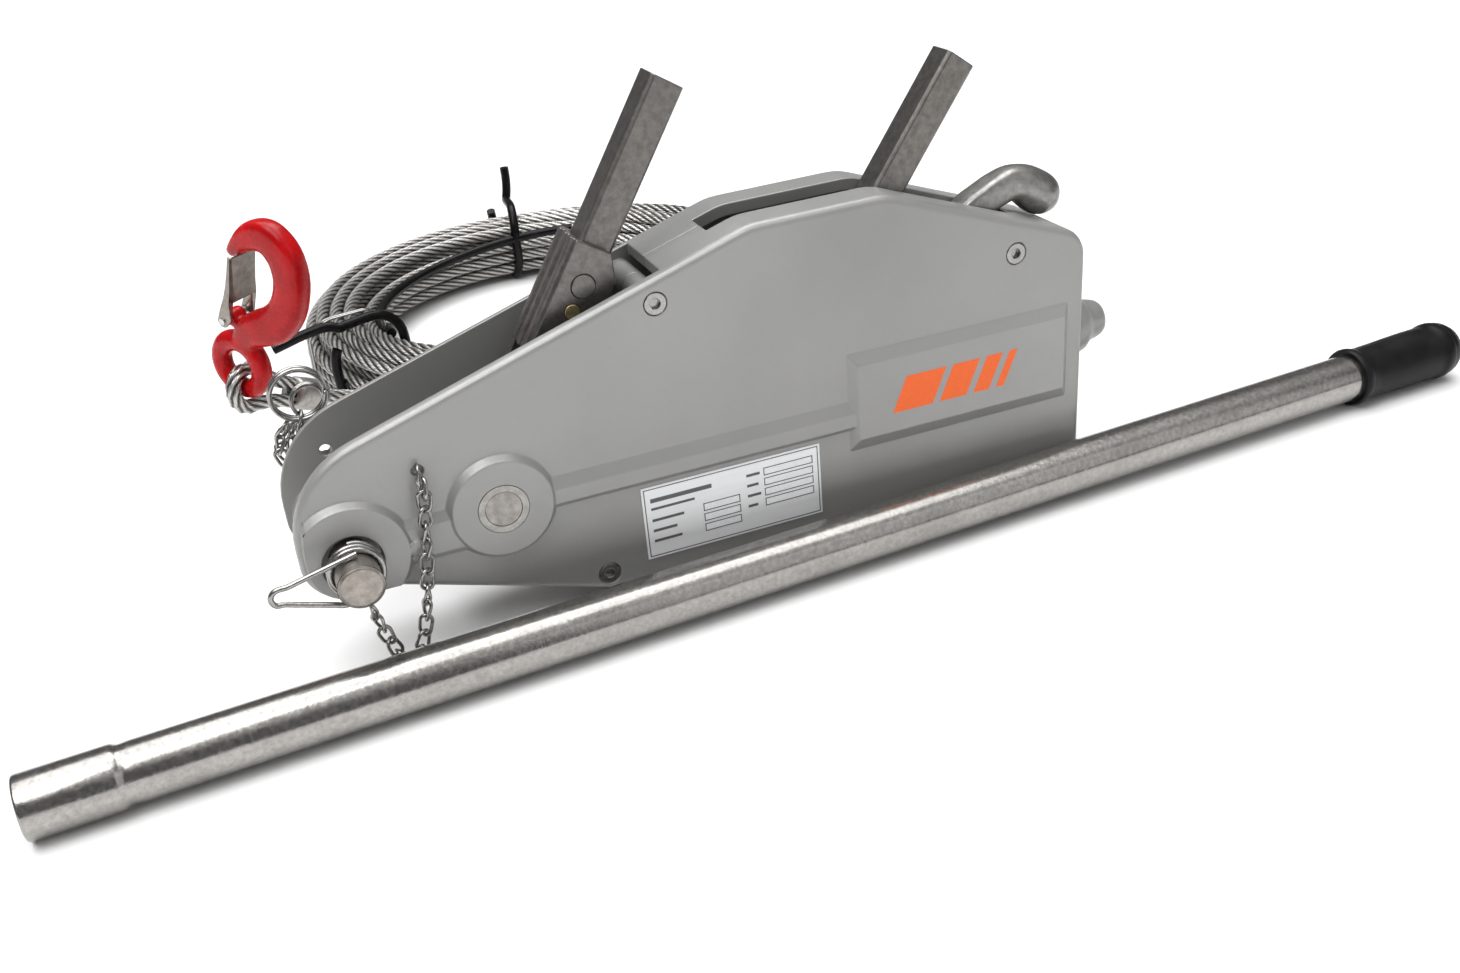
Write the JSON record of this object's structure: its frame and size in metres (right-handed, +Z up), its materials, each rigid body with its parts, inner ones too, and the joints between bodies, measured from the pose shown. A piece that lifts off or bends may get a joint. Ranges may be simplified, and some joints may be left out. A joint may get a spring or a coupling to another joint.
{
  "type": "wire rope pulling winch",
  "caption": "Hand-lever wire rope puller: two-shell body with jaw carriages, forward, reverse and release levers, anchor pin, hooked rope coil and loose tube handle.",
  "frame": {"origin": "middle of the flat base of the body, on the ground, in the parting plane of the two shells", "axes": "+X along the body from the anchor end to the rope guide, +Y from the labelled front shell to the rear shell, +Z up"},
  "size_m": [0.7796, 0.5991, 0.2407],
  "materials": {
    "cast": "satin",
    "label": "satin",
    "grip": "satin",
    "hook_red": "gloss",
    "tie": "satin",
    "rope": "satin",
    "zinc": "satin",
    "tube": "satin",
    "steel": "satin",
    "brass": "satin",
    "forged": "satin"
  },
  "bodies": {
    "housing": {"housing_front": "cast", "housing_rear": "cast", "screw_top": "zinc", "screw_end": "zinc", "screw_base": "zinc", "rating_plate": "label", "rope_guide": "cast", "axle_front": "steel", "axle_rear": "steel", "axle_clip_front": "zinc", "axle_clip_rear": "zinc", "reverse_axle": "zinc", "release_axle": "zinc", "pin_chain": "zinc", "rear_ring": "zinc", "rear_chain": "zinc"},
    "forward_lever": {"forward_crank": "steel", "forward_bar": "steel", "bar_rivet": "steel", "shear_pin": "brass", "throw_pin_upper": "zinc", "throw_pin_lower": "zinc"},
    "reverse_lever": {"reverse_lever": "steel", "reverse_throw_pin": "zinc"},
    "release_lever": {"release_lever": "forged"},
    "rear_carriage": {"rear_carriage": "steel", "rear_jaw_lower": "zinc"},
    "rear_jaw": {"rear_jaw_upper": "zinc", "rear_jaw_spring": "zinc"},
    "front_carriage": {"front_carriage": "steel", "front_jaw_lower": "zinc"},
    "front_jaw": {"front_jaw_upper": "zinc", "front_jaw_spring": "zinc"},
    "anchor_pin": {"anchor_pin": "steel"},
    "pin_bail": {"pin_bail": "zinc"},
    "handle": {"handle_tube": "tube", "handle_grip": "grip"},
    "coil": {"rope_coil": "rope", "rope_lead": "rope", "rope_ferrule": "zinc", "coil_tie_front": "tie", "coil_tie_rear": "tie", "coil_binding": "zinc", "rope_tip": "rope"},
    "hook": {"hook_body": "hook_red", "latch_pin": "zinc", "latch_spring": "zinc"},
    "hook_latch": {"hook_latch": "zinc"}
  },
  "joints": [
    {"name": "forward_lever_swing", "type": "hinge", "parent": "housing", "child": "forward_lever", "pos_m": [-0.1906, 0, 0.0683], "axis": [0, 1, 0], "range_deg": [-53.5, 0]},
    {"name": "rear_carriage_slide", "type": "slide", "parent": "housing", "child": "rear_carriage", "axis": [1, 0, 0], "range_m": [-0.0163, 0]},
    {"name": "front_carriage_slide", "type": "slide", "parent": "housing", "child": "front_carriage", "axis": [1, 0, 0], "range_m": [0, 0.0163]},
    {"name": "reverse_lever_swing", "type": "hinge", "parent": "housing", "child": "reverse_lever", "pos_m": [-0.0127, 0, 0.126], "axis": [0, 1, 0], "range_deg": [-48, 0]},
    {"name": "release_lever_swing", "type": "hinge", "parent": "housing", "child": "release_lever", "pos_m": [0.057, 0, 0.122], "axis": [0, 1, 0], "range_deg": [-22, 0]},
    {"name": "rear_jaw_open", "type": "slide", "parent": "rear_carriage", "child": "rear_jaw", "axis": [0, 0, 1], "range_m": [0, 0.0021], "deforming": ["rear_jaw_spring"]},
    {"name": "front_jaw_open", "type": "slide", "parent": "front_carriage", "child": "front_jaw", "axis": [0, 0, 1], "range_m": [0, 0.0021], "deforming": ["front_jaw_spring"]},
    {"name": "anchor_pin_slide", "type": "slide", "parent": "housing", "child": "anchor_pin", "axis": [0, -1, 0], "range_m": [0, 0.1]},
    {"name": "pin_bail_swing", "type": "hinge", "parent": "anchor_pin", "child": "pin_bail", "pos_m": [-0.259, -0.045, 0.0605], "axis": [0, 1, 0], "range_deg": [0, 80]},
    {"name": "handle_lift", "type": "slide", "parent": "housing", "child": "handle", "axis": [0, -0.7071, 0.7071], "range_m": [0, 0.3]},
    {"name": "coil_lift", "type": "slide", "parent": "housing", "child": "coil", "axis": [0, 0, 1], "range_m": [0, 0.3]},
    {"name": "hook_swing", "type": "hinge", "parent": "coil", "child": "hook", "pos_m": [-0.2822, 0.1688, 0.087], "axis": [0.766, 0.6428, 0], "range_deg": [-12, 12]},
    {"name": "hook_latch_swing", "type": "hinge", "parent": "hook", "child": "hook_latch", "pos_m": [-0.27925, 0.16528, 0.11535], "axis": [0.766, 0.6428, 0], "range_deg": [0, 25], "stiffness_Nm_per_rad": 0.02, "springref_deg": -28.65}
  ],
  "couplings": [
    {"joint": "rear_carriage_slide", "follows": "forward_lever_swing", "m_per_rad": 0.017353},
    {"joint": "front_carriage_slide", "follows": "forward_lever_swing", "m_per_rad": -0.017353},
    {"joint": "reverse_lever_swing", "follows": "forward_lever_swing", "ratio": 0.89333},
    {"joint": "rear_jaw_open", "follows": "release_lever_swing", "m_per_rad": -0.005209},
    {"joint": "front_jaw_open", "follows": "release_lever_swing", "m_per_rad": -0.005209}
  ]
}
